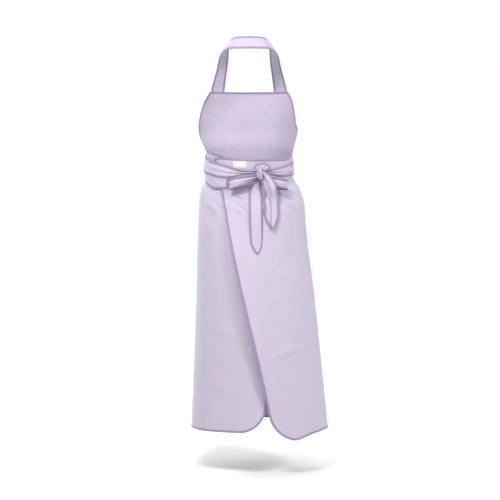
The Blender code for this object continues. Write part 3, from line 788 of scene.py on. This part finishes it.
def panel_grid(shares, near_psi, far_psi, top_rule, foot_rule, count):
    """(psi, level) of a panel between two side lines, from its top rule to its foot rule."""
    grid = []
    for share in shares:

        def psi_of(level, share=share):
            return near_psi(level) + (far_psi - near_psi(level)) * share

        top = settle(lambda level: top_rule(psi_of(level)), 0.05)
        foot = settle(lambda level: foot_rule(psi_of(level), level), -0.80)
        level = rows_between(top, foot, count)
        grid.append((psi_of(level), level))
    return np.array(grid).transpose(1, 2, 0)


def top_rule_of(table, margin):
    psi = np.linspace(table[0][0], table[-1][0], 160)
    level = level_at(psi, through(table, psi)[:, 0])
    psi_in, level_in = inset(psi, level, margin)
    return lambda at: np.interp(at, psi_in, level_in)


def free_hem_rule(hem, edge, margin):
    def rule(psi, level):
        distance = np.abs(edge(level) - surface(psi, level)[..., 0]) - margin
        return hem_at(hem, psi) + margin + rounded(distance, CORNER_RADIUS - margin)

    return rule


def free_edge_outline(hem, edge, side, from_level, to_psi):
    """(psi, level) down a free edge, round its corner and along the hem. side is +1 where x grows inwards."""
    corner_foot = settle(lambda level: hem_at(hem, psi_at(edge(level), level)) + CORNER_RADIUS, -0.78)
    level = np.linspace(from_level, corner_foot, 60)
    psi = psi_at(edge(level), level)
    for turn in np.radians(np.arange(5, 91, 5)):
        across = CORNER_RADIUS * (1 - math.cos(turn))
        rise = CORNER_RADIUS * (1 - math.sin(turn))
        at = settle(lambda v: hem_at(hem, psi_at(edge(v) + side * across, v)) + rise, -0.82)
        level, psi = np.append(level, at), np.append(psi, psi_at(edge(at) + side * across, at))
    along = np.linspace(psi[-1], to_psi, 40)[1:]
    return np.append(psi, along), np.append(level, hem_at(hem, along))


EDGE_INSET = 1.6 * MM
SIDE_LAP = 0.9
ROWS = 170

FOLD_NORMAL = Vector((0.0, -BIB_FOLD_RISE, 1.0)).normalized()
BIB_BLEND = {"start": BIB_HINGE - FOLD_NORMAL * 0.050, "end": BIB_HINGE + FOLD_NORMAL * 0.050}
NECK_BLEND = {"start": Vector((0, -0.113, 0.2620)), "end": Vector((0, -0.113, 0.2900))}


def stand_in(piece, body, *nodes):
    """The piece replaces CAD nodes, which it hides, and moves with one body."""
    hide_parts(*nodes)
    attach(piece, body)


def stand_across(piece, bodies, planes, *nodes):
    """The same for a piece that spans two bodies: it hides the CAD nodes and bakes the piece's placement into
    its mesh.
    """
    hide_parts(*nodes)
    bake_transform(piece)


def armhole_level(psi):
    aside = np.minimum(psi, 360 - psi)
    return level_at(aside, through(ARMHOLE, aside)[..., 0])


def make_front():
    """Front panel and bib, which are one cut of cloth, with the tapes on their edges."""
    rising = np.linspace(SEAM_PSI, BIB_CORNER_PSI, 60)
    rising = inset(*fine_curve(rising, armhole_level(rising), 2 * MM), EDGE_INSET)
    side_psi = SEAM_PSI - SIDE_LAP
    psi = np.linspace(side_psi, 360 - side_psi, 150)
    aside = np.minimum(psi, 360 - psi)
    top = np.minimum(np.interp(aside, *rising), level_at(psi, BIB_TOP - EDGE_INSET))
    levels = np.stack([rows_between(t, FRONT_HEM + EDGE_INSET, 200) for t in top], axis=1)
    psi = np.broadcast_to(psi, levels.shape)
    tuck = -0.5 * MM * ease(SEAM_PSI + 2, SEAM_PSI, np.minimum(psi, 360 - psi))
    points = surface(psi, levels, front_shape(psi, levels) + tuck)
    cloth = cloth_sheet("front_and_bib_cloth", points, CLOTH, cloth_material)
    stand_across(cloth, ("skirt", "bib"), BIB_BLEND, "skirt_front_panel", "bib_panel")

    across = np.linspace(side_psi, 360 - side_psi, 120)
    hem = tape_on("front_hem_tape", across, np.full(120, FRONT_HEM), -1, front_shape, seed=0.3)
    stand_in(hem, "skirt", "front_hem_binding")

    across = np.linspace(BIB_CORNER_PSI, 360 - BIB_CORNER_PSI, 80)
    top_tape = tape_on("bib_top_tape", across, level_at(across, BIB_TOP), 1, front_shape, seed=1.0)
    stand_in(top_tape, "bib", "bib_top_binding")

    side = np.linspace(side_psi, BIB_CORNER_PSI, 60)
    for word, line in (("right", side), ("left", 360 - side[::-1])):
        made = tape_on(f"armhole_tape_{word}", line, armhole_level(line), 1, front_shape, seed=2.0)
        stand_across(made, ("skirt", "bib"), BIB_BLEND, f"armhole_binding_{word}")


def wrap_grid(columns, edge, side, hem, top):
    """(psi, level) of a wrapped panel from its free edge to its seam. side is +1 where x grows inwards."""
    return panel_grid(
        np.linspace(0, 1, columns) ** 1.25,
        lambda v: psi_at(edge(v) + side * EDGE_INSET, v),
        -side * SEAM_PSI,
        top_rule_of(top, EDGE_INSET),
        free_hem_rule(hem, edge, EDGE_INSET),
        ROWS,
    )


def wrap_tapes(word, edge, side, hem, top, lift, corner_psi, start, count, seeds):
    """Tape round a wrapped panel's free edge and hem, and tape along its top."""
    corner = settle(lambda v: level_at(corner_psi, through(top, psi_at(edge(v), v))[0]), start)
    outline = free_edge_outline(hem, edge, side, corner, -side * SEAM_PSI)
    side_tape = tape_on(f"{word}_wrap_tape", *outline, side, lift, seed=seeds[0])
    ends = sorted((-side * SEAM_PSI, psi_at(edge(corner) + side * 2 * MM, corner)))
    along = np.linspace(*ends, count)
    line = level_at(along, through(top, along)[:, 0])
    return side_tape, tape_on(f"{word}_top_tape", along, line, 1, lift, seed=seeds[1])


def make_inner_wrap():
    """The wearer's left panel, which wraps across the back underneath."""
    psi, level = wrap_grid(130, inner_edge_x, 1, INNER_HEM, INNER_TOP)
    points = surface(psi, level, inner_lift(psi, level))
    cloth = cloth_sheet("inner_wrap_cloth", points, CLOTH, cloth_material)
    stand_in(cloth, "skirt", "inner_wrap_panel")
    shape = (inner_edge_x, 1, INNER_HEM, INNER_TOP, inner_lift)
    edge, top_tape = wrap_tapes("inner", *shape, 60, 0.05, 160, (0.7, 1.4))
    stand_in(edge, "skirt", "inner_wrap_binding")
    stand_in(top_tape, "skirt", "inner_top_binding")


def flap_planes():
    """Two points by the top of the outer panel's loose corner, 1 mm and 32 mm across towards its free edge.
    """
    top = Vector(surface(psi_at(FLAP_TOP_X, FLAP_TOP), FLAP_TOP, FLAP_AXIS_LIFT))
    foot = Vector(surface(psi_at(FLAP_FOOT_X, FLAP_FOOT), FLAP_FOOT, FLAP_AXIS_LIFT))
    up = (top - foot).normalized()
    towards_edge = up.cross(Vector((0, -1, 0))).normalized()
    return {"start": top + towards_edge * 1 * MM, "end": top + towards_edge * 32 * MM}


def make_outer_wrap():
    """The wearer's right panel, which wraps over the back."""
    psi, level = wrap_grid(150, outer_edge_x, -1, OUTER_HEM, OUTER_TOP)
    centre = through(INNER_TIE, psi)[..., 0]
    z = height(psi, level)
    in_slit = (np.abs(z - centre) < TIE_WIDTH / 2 + 2 * MM) & (psi > SLOT_PSI + 1.5) & (psi < SLOT_PSI + 4.5)
    slit = np.argwhere(in_slit[:-1, :-1])
    points = surface(psi, level, outer_lift(psi, level))
    cloth = cloth_sheet("outer_wrap_cloth", points, CLOTH, cloth_material, slit)
    planes = flap_planes()
    stand_across(cloth, ("skirt", "outer_flap"), planes, "outer_wrap_panel", "outer_flap_panel")
    shape = (outer_edge_x, -1, OUTER_HEM, OUTER_TOP, outer_lift)
    edge, top_tape = wrap_tapes("outer", *shape, -58, 0.06, 170, (0.2, 1.1))
    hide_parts("outer_edge_binding", "outer_flap_binding", "outer_hem_binding")
    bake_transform(edge)
    stand_in(top_tape, "skirt", "outer_top_binding")


# ---------------- ribbons


def ribbon_tapes(name, points, body, node_name, seed=0.0):
    """Tapes over the two long edges of a ribbon, whose grid runs across it in rows."""
    made = []
    for word in ("upper", "lower"):
        tape = tape_over(f"{name}_{word}_tape", grid_edge(points, word == "lower"), seed=seed)
        stand_in(tape, body, f"{node_name}_{word}_binding")
        made.append(tape)
    return made


def make_sash(name, node_name, table, turn, seed):
    """A bound tie round the waist, folded into pleats where it narrows towards the knot."""
    table = np.asarray(table, float)
    at = np.arange(table[0, 0], table[-1, 0] + 0.5, 1.0)
    z, width, lift = through(table, at).T
    across = np.linspace(0, 1, 41)[:, None]
    narrow = np.clip(1.35 * (1 - width / TIE_WIDTH), 0, 1)
    psi = turn * at
    level = level_at(psi, z + width * (0.5 - across))
    run = np.radians(at)
    inside = np.sin(np.pi * across) ** 0.7
    folds = 2.6 * MM * np.cos(across * 5 * np.pi + 2 * run) + 1.5 * MM * np.cos(across * 12 + 5 * run)
    pleats = narrow * inside * folds
    soft = 0.7 * MM * inside * np.sin(across * 6 + run * 5 + seed) * np.sin(run * 11 + 3 * across + seed)
    drag = 0.9 * MM * inside * np.sin(across * 15 - run * 2 + seed) * ease(200, 300, at)
    crown = 1.4 * MM * np.sin(np.pi * across)
    on_left = ease(250, 264, at) * (1 - 0.8 * ease(292, 302, at)) * (turn > 0)
    lean = (3.4 * MM - lift) * on_left * (1 - across) ** 1.4 * (1 - narrow)
    points = surface(psi, level, lift + pleats + soft + drag + crown + lean - 0.6 * MM)
    cloth = cloth_sheet(f"{name}_sash", points, RIBBON_CLOTH, ribbon_material)
    stand_in(cloth, "skirt", node_name)
    tapes = ribbon_tapes(f"{name}_sash", points, "skirt", node_name, seed)


def make_tie_end():
    """Tape over the squared end of the outer tie, where it is sewn to the panel's corner."""
    start, z, width, lift = OUTER_TIE[0]
    count = 24
    drop = width * np.linspace(0.5, -0.5, count)
    radius = through(BODY_SECTIONS, 0.0)[0]

    def place(inside):
        psi = np.full(count, -start - np.degrees(inside / radius))
        return surface(psi, level_at(psi, z + drop), lift + 1.0 * MM * np.sin(np.linspace(0, np.pi, count)))

    tape = tape_over("sash_end_tape", place, half=1.5 * MM)
    stand_in(tape, "skirt", "outer_tie_end_binding")


def make_loop(name, plan, upper, lower, drop):
    """A bow loop: out from the knot, round its end and back behind, gathered where it enters the knot."""
    knots = np.linspace(0, 1, len(plan))
    at = np.linspace(0, 1, 110)
    xy = through(np.column_stack([knots, plan]), at)
    reach = np.abs(xy[:, 0] - plan[0][0])
    share = reach / reach.max()
    behind = ease(0.40, 0.60, at)
    top = through(upper, share)[:, 0] - 2.0 * MM * behind
    foot = through(lower, share)[:, 0] - drop * behind * ease(0.0, 0.15, share) * (1 - 0.6 * share)
    across = np.linspace(0, 1, 33)[:, None]
    z = top + (foot - top) * across
    tangent = unit(np.gradient(np.column_stack([xy, 0 * at]), axis=0))
    out = np.cross(tangent, (0, 0, 1.0)) * np.sign(plan[2][0] - plan[0][0])
    gathered = 0.28 + 0.72 * np.exp(-((share / 0.45) ** 2))
    inside = np.sin(np.pi * across) ** 0.6
    folds = 3.7 * MM * np.cos(across * 4.6 * np.pi + 3 * share) + 1.6 * MM * np.cos(across * 25)
    pleats = inside * gathered * folds
    crown = 2.6 * MM * np.sin(np.pi * across) * ease(0, 0.5, share)
    soft = 0.7 * MM * np.sin(across * 7 + share * 9) * (1 - gathered) * inside
    points = np.stack([np.broadcast_to(xy[:, 0], z.shape), np.broadcast_to(xy[:, 1], z.shape), z], axis=-1)
    points = points + (pleats + crown + soft)[..., None] * out[None]
    cloth = cloth_sheet(f"{name}_cloth", points, RIBBON_CLOTH, ribbon_material)
    stand_in(cloth, name, name)
    tapes = ribbon_tapes(name, points, name, name)


def tail_end(a, tail):
    """z of the pointed end of a hanging tie end, at a share of the way across it."""
    tip_at = tail["tip_at"]
    off_tip = np.where(a < tip_at, (tip_at - a) / tip_at, (a - tip_at) / (1 - tip_at))
    return tail["tip"] + tail["arch"] * (0.45 * off_tip + 0.55 * (1 - np.sqrt(np.maximum(1 - off_tip**2, 0))))


def tail_sides(z, tail):
    return [through(np.array(tail[side])[::-1], z)[..., 0] for side in ("right", "left")]


def tail_point(x, z, tail):
    """World point of a hanging tie end at some x and z."""
    x_right, x_left = tail_sides(z, tail)
    a = np.clip((x - x_right) / (x_left - x_right), 0, 1)
    t = np.clip((z - tail["top"]) / (tail_end(a, tail) - tail["top"]), 0, 1)
    level = level_at(0.0, z)
    y = surface(psi_at(x, level), level)[..., 1]
    return np.stack([x, y + tail["lift"](a, t, z, y), z], axis=-1)


def make_tail(name, tail):
    """A tie end with tape down one edge, round the tip and up the other edge."""
    a = (1 - np.cos(np.pi * np.linspace(0, 1, 45)))[:, None] / 2
    z = tail["top"] + (tail_end(a, tail) - tail["top"]) * np.linspace(0, 1, 110)[None]
    x_right, x_left = tail_sides(z, tail)
    x = x_right + (x_left - x_right) * a
    cloth = cloth_sheet(f"{name}_cloth", tail_point(x, z, tail), RIBBON_CLOTH, ribbon_material)
    grid = np.stack([x, z], axis=-1)
    outline = evenly(2.2 * MM, np.concatenate([grid[0], grid[1:-1, -1], grid[-1][::-1]]))
    tangent = unit(np.gradient(outline, axis=0))
    inward = tangent[:, ::-1] * [-1, 1]
    inward = inward * np.sign(((outline.mean(axis=0) - outline) * inward).sum())

    def place(inside):
        return tail_point(*(outline + inward * inside).T, tail)

    tape = tape_over(f"{name}_tape", place, width=6.2 * MM)
    start, end = (Vector((x.mean(), 0.12, bend)) for bend in tail["bends"])
    planes = {"start": start, "end": end}
    stand_across(cloth, ("skirt", name), planes, name)
    stand_across(tape, ("skirt", name), planes, f"{name}_binding")


def make_tails():
    def long_lift(a, t, _z, _y):
        sway = 11 * MM + 4 * MM * np.sin(t * 3.6) + 2 * MM * (1 - ease(0.0, 0.15, t))
        inside = np.sin(np.pi * a) ** 0.6
        folds = 2.4 * MM * np.cos(a * 3.3 * np.pi) + 0.9 * MM * np.cos(a * 17)
        gather = (1 - ease(0.05, 0.62, t)) * folds * inside
        twist = 2.0 * MM * np.cos(np.pi * a) * np.sin(t * 4.0 + 0.6)
        curl = -3.0 * MM * (2 * a - 1) ** 2 * ease(0.1, 0.5, t)
        return sway + gather + twist + curl + 0.5 * MM * np.sin(t * 19 + a * 4) * inside

    make_tail("tail_long", LONG_TAIL | {"lift": long_lift})

    def short_lift(a, t, z, y):
        fold = 0.52 + 0.10 * ease(0.3, 0.0, t)
        behind = ease(fold - 0.06, fold + 0.06, a)
        front, back = np.moveaxis(through(SHORT_TAIL_PLACES, z), -1, 0)
        hanging = ease(-0.050, -0.130, z)
        crown = 2.4 * MM * np.sin(np.pi * np.clip(a / fold, 0, 1))
        frill = 2.4 * MM * np.sin(-z * 115 + 0.5) * ease(0.7, 1.0, a)
        front = (front - y) * (1 - hanging) + 19 * MM * hanging + crown
        back = (back - y) * (1 - hanging) + 10 * MM * hanging + frill
        return front + (back - front) * behind + 0.4 * MM * np.sin(t * 21 + a * 3)

    make_tail("tail_short", SHORT_TAIL | {"lift": short_lift})


def bulge(value):
    return np.sign(value) * np.abs(value) ** 0.86


def lump(centre, half, rows, cols, pleat_depth, turns):
    """Vertices, faces and texture coordinates of a rounded, pleated lump."""
    lat = np.linspace(0, np.pi, rows)[:, None]
    lon = np.linspace(0, 2 * np.pi, cols + 1)[:-1][None]
    x, y = bulge(np.sin(lat)) * bulge(np.cos(lon)), bulge(np.sin(lat)) * bulge(np.sin(lon))
    z = bulge(np.cos(lat)) * np.ones_like(lon)
    waves = np.sin(turns * lon + 3 * z) + 0.5 * np.sin(2.1 * turns * lon - 2 * z)
    pleat = 1 + pleat_depth * np.sin(lat) * waves
    grid = centre + np.stack([x * pleat * half[0], y * pleat * half[1], z * half[2]], axis=-1)
    vertices = np.concatenate([[grid[0, 0]], grid[1:-1].reshape(-1, 3), [grid[-1, 0]]])
    c = np.arange(cols)
    after = (c + 1) % cols
    last = 1 + (rows - 3) * cols
    faces = [(0, 1 + i, 1 + j) for i, j in zip(c, after)]
    faces += [(last + j, last + i, len(vertices) - 1) for i, j in zip(c, after)]
    for r in range(rows - 3):
        start = 1 + r * cols
        faces += [(start + i, start + cols + i, start + cols + j, start + j) for i, j in zip(c, after)]
    return vertices, faces, vertices[:, [0, 2]]


def make_knot():
    """The middle of the bow: a gathered lump, the turn of sash round it and the bound fold above it."""
    vertices, faces, uv = lump(KNOT_CENTRE, KNOT_HALF, 44, 84, 0.05, 6)
    knot = new_object("bow_knot_cloth", vertices, faces, uv, ribbon_material, sharp=80)
    stand_in(knot, "skirt", "bow_knot")

    t = np.linspace(0, 1, 60)
    across = np.linspace(0, 1, 17)[:, None]
    turn = np.pi * (0.06 + 0.88 * t)
    wrap_y = KNOT_CENTRE[1] + (KNOT_HALF[1] + 2.2 * MM) * np.sin(turn)
    wrap_z = KNOT_CENTRE[2] + (KNOT_HALF[2] + 2.0 * MM) * np.cos(turn)
    width = 11 * MM + 6 * MM * (1 - np.sin(turn))
    pleats = 1.1 * MM * np.cos(across * 5.5 * np.pi) * np.sin(np.pi * across)
    wrap_x = KNOT_CENTRE[0] - 1 * MM + width * (0.5 - across) + 2.5 * MM * np.cos(turn)
    points = np.stack([wrap_x, wrap_y + pleats, np.broadcast_to(wrap_z, wrap_x.shape)], axis=-1)
    wrap = cloth_sheet("knot_wrap_cloth", points, RIBBON_CLOTH, ribbon_material)
    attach(wrap, "skirt")
    for word in ("left", "right"):
        edge = grid_edge(points, word == "right")
        tape = tape_over(f"knot_wrap_tape_{word}", edge, width=3.0 * MM, half=0.9 * MM, overhang=0.6 * MM)
        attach(tape, "skirt")

    along = np.linspace(0, 1, 70)
    arch = through(KNOT_ARCH, along)
    root = np.array([KNOT_CENTRE[0] - 4 * MM, KNOT_CENTRE[1] - 3 * MM, KNOT_CENTRE[2] + 9 * MM])
    spread = np.linspace(0, 1, 21)[:, None, None]
    fan = arch + (root + (arch - root) * 0.28 - arch) * spread
    ribs = 1.3 * MM * np.cos(along * 9 * np.pi)[None, :, None] * np.sin(np.pi * spread) ** 0.7
    points = fan + ribs * np.array([0, 1.0, 0.2])
    fold = cloth_sheet("knot_fold_cloth", points, RIBBON_CLOTH, ribbon_material)
    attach(fold, "skirt")
    tape = tape_over("knot_fold_tape", grid_edge(points), width=5.0 * MM)
    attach(tape, "skirt")


def make_label():
    """A plain woven label under the top tape of the outer panel."""
    x = LABEL_CENTRE_X + LABEL_WIDTH * np.linspace(0.5, -0.5, 40)
    z = LABEL_CENTRE_Z + LABEL_HEIGHT * np.linspace(0.5, -0.5, 22)[:, None]
    psi = psi_at(x, 0.0)
    level = level_at(psi, z)
    puff = 0.35 * MM * np.sin(x * 160) * np.cos(z * 120)
    psi = np.broadcast_to(psi, level.shape)
    lift = outer_lift(psi, level) + 1.3 * MM + puff
    label = cloth_sheet("woven_label_cloth", surface(psi, level, lift), 0.5 * MM, label_material)
    stand_in(label, "skirt", "woven_label")


def make_neck_band():
    """A wide strap round the back of the neck. Its ends are sewn over the corners of the bib."""
    along = np.linspace(-1, 1, 190)
    mirror = np.where(along < 0, -1.0, 1.0)[:, None] * [1, 0, 0] + [0, 1, 1]
    upper = through(NECK_UPPER_EDGE, np.abs(along)) * mirror
    lower = through(NECK_LOWER_EDGE, np.abs(along)) * mirror
    across = np.linspace(0, 1, 25)[:, None, None]
    points = upper + (lower - upper) * across
    inside = np.sin(np.pi * across[..., 0])
    at_neck = ease(0.5, 0.2, np.abs(along))
    crown = 1.6 * MM * inside
    soft = 0.8 * MM * inside * np.sin(along * 17 + across[..., 0] * 4)
    wrinkle = 0.6 * MM * inside * at_neck * np.sin(along * 44 + across[..., 0] * 2)
    points = points + grid_normals(points) * (crown + soft + wrinkle)[..., None]
    cloth = cloth_sheet("neck_band_cloth", points, 1.2 * MM, ribbon_material)
    bodies = ("bib", "neck_band")
    stand_across(cloth, bodies, NECK_BLEND, "neck_band")
    for word in ("upper", "lower"):
        tape = tape_over(f"neck_band_{word}_tape", grid_edge(points, word == "lower"))
        stand_across(tape, bodies, NECK_BLEND, f"neck_band_{word}_binding")


# ---------------- camera, light and floor

CAMERA_DISTANCE = 4.5
FIELD_HEIGHT = 1.65
CAMERA_X = -0.003
FLOOR_Z = -0.983


def aimed(data, place, target):
    """An object at place that looks or shines towards target."""
    made = bpy.data.objects.new(data.name, data)
    bpy.context.scene.collection.objects.link(made)
    made.location = place
    made.rotation_mode = "QUATERNION"
    made.rotation_quaternion = (Vector(target) - made.location).to_track_quat("-Z", "Y")
    return made


def make_camera():
    data = bpy.data.cameras.new("camera")
    data.sensor_width = 36
    data.lens = 18 * CAMERA_DISTANCE / (FIELD_HEIGHT / 2)
    place = (CAMERA_X, CAMERA_DISTANCE, -0.03)
    bpy.context.scene.camera = aimed(data, place, (CAMERA_X, 0.0, -0.257))


def sun_light(name, place, strength, softness):
    """A distant light from the side that place is on, with soft shadows."""
    data = bpy.data.lights.new(name, "SUN")
    data.energy = strength
    data.angle = math.radians(softness)
    aimed(data, place, (0, 0, 0))


def area_light(name, place, size, power):
    """A round soft light that gets weaker with distance."""
    data = bpy.data.lights.new(name, "AREA")
    data.shape = "DISK"
    data.size = size
    data.energy = power
    aimed(data, place, (0, 0, 0))


def make_room():
    """A pale floor, a white surround and soft studio lights."""
    world = bpy.data.worlds.new("studio")
    bpy.context.scene.world = world
    world.use_nodes = True
    background = world.node_tree.nodes["Background"]
    background.inputs["Color"].default_value = (1.0, 1.0, 1.0, 1.0)
    background.inputs["Strength"].default_value = 1.0
    bpy.context.scene.view_settings.view_transform = "Standard"

    mesh = bpy.data.meshes.new("floor")
    reach = 30.0
    sides = ((-reach, -reach), (reach, -reach), (reach, reach), (-reach, reach))
    corners = [(x, y, FLOOR_Z) for x, y in sides]
    mesh.from_pydata(corners, [], [(0, 1, 2, 3)])
    floor = bpy.data.objects.new("floor", mesh)
    bpy.context.scene.collection.objects.link(floor)
    pale = bpy.data.materials.new("pale_floor")
    pale.use_nodes = True
    shader = pale.node_tree.nodes["Principled BSDF"]
    shader.inputs["Base Color"].default_value = (0.76, 0.76, 0.76, 1.0)
    shader.inputs["Roughness"].default_value = 0.9
    mesh.materials.append(pale)

    sun_light("key", (-1.35, 1.4, 1.45), 1.25, 12)
    area_light("upper_key", (0.45, 1.55, 1.15), 0.5, 31)
    sun_light("fill_on_front", (1.25, -1.3, 1.1), 1.15, 14)


make_camera()
make_room()
make_front()
make_inner_wrap()
make_outer_wrap()
make_sash("inner", "inner_tie", INNER_TIE, 1, 0.3)
make_sash("outer", "outer_tie", OUTER_TIE, -1, 1.9)
make_tie_end()
make_loop("bow_loop_left", LEFT_LOOP, LEFT_LOOP_UPPER, LEFT_LOOP_LOWER, 14 * MM)
make_loop("bow_loop_right", RIGHT_LOOP, RIGHT_LOOP_UPPER, RIGHT_LOOP_LOWER, 12 * MM)
make_tails()
make_knot()
make_label()
make_neck_band()
